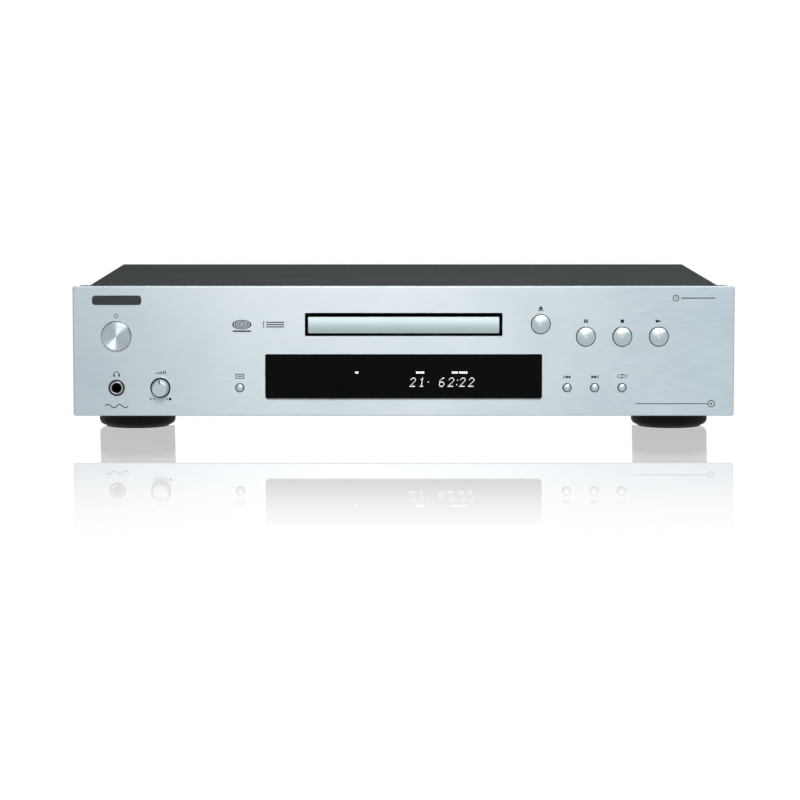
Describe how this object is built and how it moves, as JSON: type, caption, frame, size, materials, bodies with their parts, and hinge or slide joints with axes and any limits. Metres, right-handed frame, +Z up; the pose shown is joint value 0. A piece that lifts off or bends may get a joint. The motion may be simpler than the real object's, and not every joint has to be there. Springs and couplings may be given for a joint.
{
  "type": "cd player",
  "caption": "Full-width hi-fi disc player with a silver front, a motor tray, a dark display window, round buttons, a headphone level knob and round feet.",
  "frame": {"origin": "on the floor, under the middle of the whole outline", "axes": "+Z up, +X to the right seen from the front, the front faces -Y"},
  "size_m": [0.435, 0.307, 0.101],
  "materials": {
    "panel_silver": "brushed and anodised",
    "door_silver": "satin",
    "badge_silver": "satin",
    "button_silver": "spun",
    "small_button_silver": "satin",
    "knob_silver": "turned",
    "frame_black": "fine moulded texture",
    "window_black": "polished",
    "shaft_steel": "ground",
    "control_steel": "zinc plated",
    "socket_black": "moulded",
    "ring_chrome": "polished",
    "board_green": "solder mask",
    "switch_black": "moulded",
    "tube_glass": "clear",
    "cover_grey": "fine textured paint",
    "base_steel": "zinc plated",
    "rear_black": "fine textured paint",
    "screw_black": "black oxide",
    "screw_steel": "yellow zinc",
    "foot_black": "satin moulded",
    "pad_black": "soft",
    "core_colour": "moulded white, red and orange",
    "contact_gold": "gold plated",
    "tray_black": "fine moulded texture",
    "loader_black": "moulded",
    "puck_grey": "moulded",
    "motor_steel": "plated",
    "pinion_brass": "turned",
    "gear_white": "moulded",
    "core_steel": "varnished laminations",
    "coil_tape": "taped",
    "capacitor_sleeve": "shrink sleeve",
    "sink_aluminium": "extruded",
    "ribbon_grey": "flat cable",
    "pickup_cast": "die cast",
    "lens_glass": "coated"
  },
  "bodies": {
    "root": {"badge_plate": "badge_silver", "capacitors": "capacitor_sleeve", "case_screws": "screw_black", "chassis_base": "base_steel", "circuit_parts": "switch_black", "clamp_bridge": "base_steel", "dampers": "pad_black", "display_tube": "tube_glass", "display_window": "window_black", "drive_belt": "pad_black", "feet": "foot_black", "foot_pads": "pad_black", "front_board": "board_green", "front_frame": "frame_black", "front_panel": "panel_silver", "front_switches": "switch_black", "heat_sink": "sink_aluminium", "inner_screws": "screw_steel", "jack_cores": "core_colour", "level_boards": "board_green", "level_control": "control_steel", "loader_frame": "loader_black", "loading_motor": "motor_steel", "mains_inlet": "socket_black", "phones_socket": "socket_black", "plated_contacts": "contact_gold", "rear_panel": "rear_black", "rear_sockets": "socket_black", "ribbon_cables": "ribbon_grey", "socket_ring": "ring_chrome", "top_cover": "cover_grey", "transformer_coil": "coil_tape", "transformer_core": "core_steel"},
    "tray": {"disc_tray": "tray_black", "tray_door": "door_silver"},
    "tray_gear": {"tray_gear": "gear_white"},
    "pulley_gear": {"pulley_gear": "gear_white"},
    "motor_pulley": {"motor_pulley": "pinion_brass"},
    "lift_cam": {"lift_cam": "gear_white"},
    "traverse": {"traverse_plate": "loader_black", "guide_rods": "shaft_steel", "traverse_motors": "motor_steel"},
    "spindle": {"spindle_hub": "puck_grey"},
    "clamp_puck": {"clamp_puck": "puck_grey"},
    "pickup": {"optical_pickup": "pickup_cast", "pickup_lens": "lens_glass"},
    "sled_gear": {"sled_gear": "gear_white"},
    "sled_pinion": {"sled_pinion": "pinion_brass"},
    "level_knob": {"level_knob": "knob_silver", "level_shaft": "shaft_steel"},
    "optical_shutter": {"optical_shutter": "socket_black"},
    "power_button": {"power_button": "button_silver"},
    "eject_button": {"eject_button": "button_silver"},
    "pause_button": {"pause_button": "button_silver"},
    "stop_button": {"stop_button": "button_silver"},
    "play_button": {"play_button": "button_silver"},
    "display_button": {"display_button": "small_button_silver"},
    "previous_button": {"previous_button": "small_button_silver"},
    "next_button": {"next_button": "small_button_silver"},
    "repeat_button": {"repeat_button": "small_button_silver"}
  },
  "joints": [
    {"name": "tray_slide", "type": "slide", "parent": "root", "child": "tray", "axis": [0, -1, 0], "range_m": [0, 0.14]},
    {"name": "tray_gear_spin", "type": "hinge", "parent": "root", "child": "tray_gear", "pos_m": [-0.039, -0.106, 0.072], "axis": [0, 0, 1], "continuous": true},
    {"name": "pulley_gear_spin", "type": "hinge", "parent": "root", "child": "pulley_gear", "pos_m": [-0.024, -0.106, 0.07], "axis": [0, 0, 1], "continuous": true},
    {"name": "motor_pulley_spin", "type": "hinge", "parent": "root", "child": "motor_pulley", "pos_m": [-0.05, -0.106, 0.067], "axis": [0, 0, 1], "continuous": true},
    {"name": "cam_slide", "type": "slide", "parent": "root", "child": "lift_cam", "axis": [1, 0, 0], "range_m": [0, 0.024]},
    {"name": "traverse_lift", "type": "hinge", "parent": "root", "child": "traverse", "pos_m": [0, 0.048, 0.058], "axis": [-1, 0, 0], "range_deg": [0, 5.5]},
    {"name": "spindle_spin", "type": "hinge", "parent": "traverse", "child": "spindle", "pos_m": [0, -0.068, 0.06813], "axis": [0, -0.0958, 0.9954], "continuous": true},
    {"name": "clamp_spin", "type": "hinge", "parent": "root", "child": "clamp_puck", "pos_m": [0, -0.0665, 0.086], "axis": [0, 0, 1], "continuous": true},
    {"name": "pickup_slide", "type": "slide", "parent": "traverse", "child": "pickup", "axis": [0, 0.9954, 0.0958], "range_m": [0, 0.035]},
    {"name": "sled_gear_spin", "type": "hinge", "parent": "traverse", "child": "sled_gear", "pos_m": [0.039, -0.01094, 0.06498], "axis": [0, -0.0958, 0.9954], "continuous": true},
    {"name": "sled_pinion_spin", "type": "hinge", "parent": "traverse", "child": "sled_pinion", "pos_m": [0.039, 0.00001, 0.06604], "axis": [0, -0.0958, 0.9954], "continuous": true},
    {"name": "level_knob_turn", "type": "hinge", "parent": "root", "child": "level_knob", "pos_m": [-0.1602, -0.143, 0.0341], "axis": [0, 1, 0], "range_deg": [-150, 150]},
    {"name": "shutter_swing", "type": "hinge", "parent": "root", "child": "optical_shutter", "pos_m": [0.168, 0.1425, 0.0454], "axis": [-1, 0, 0], "range_deg": [0, 80], "stiffness_Nm_per_rad": 0.0001},
    {"name": "power_button_press", "type": "slide", "parent": "root", "child": "power_button", "axis": [0, 1, 0], "range_m": [0, 0.0009], "stiffness_N_per_m": 900},
    {"name": "eject_button_press", "type": "slide", "parent": "root", "child": "eject_button", "axis": [0, 1, 0], "range_m": [0, 0.0009], "stiffness_N_per_m": 900},
    {"name": "pause_button_press", "type": "slide", "parent": "root", "child": "pause_button", "axis": [0, 1, 0], "range_m": [0, 0.0009], "stiffness_N_per_m": 900},
    {"name": "stop_button_press", "type": "slide", "parent": "root", "child": "stop_button", "axis": [0, 1, 0], "range_m": [0, 0.0009], "stiffness_N_per_m": 900},
    {"name": "play_button_press", "type": "slide", "parent": "root", "child": "play_button", "axis": [0, 1, 0], "range_m": [0, 0.0009], "stiffness_N_per_m": 900},
    {"name": "display_button_press", "type": "slide", "parent": "root", "child": "display_button", "axis": [0, 1, 0], "range_m": [0, 0.0007], "stiffness_N_per_m": 600},
    {"name": "previous_button_press", "type": "slide", "parent": "root", "child": "previous_button", "axis": [0, 1, 0], "range_m": [0, 0.0007], "stiffness_N_per_m": 600},
    {"name": "next_button_press", "type": "slide", "parent": "root", "child": "next_button", "axis": [0, 1, 0], "range_m": [0, 0.0007], "stiffness_N_per_m": 600},
    {"name": "repeat_button_press", "type": "slide", "parent": "root", "child": "repeat_button", "axis": [0, 1, 0], "range_m": [0, 0.0007], "stiffness_N_per_m": 600}
  ],
  "couplings": [
    {"joint": "tray_gear_spin", "follows": "tray_slide", "rad_per_m": 100},
    {"joint": "pulley_gear_spin", "follows": "tray_slide", "rad_per_m": -200},
    {"joint": "motor_pulley_spin", "follows": "tray_slide", "rad_per_m": -455.32},
    {"joint": "traverse_lift", "follows": "cam_slide", "rad_per_m": 3.9997},
    {"joint": "clamp_spin", "follows": "spindle_spin", "ratio": 1},
    {"joint": "sled_gear_spin", "follows": "pickup_slide", "rad_per_m": -125},
    {"joint": "sled_pinion_spin", "follows": "pickup_slide", "rad_per_m": 333.33}
  ]
}
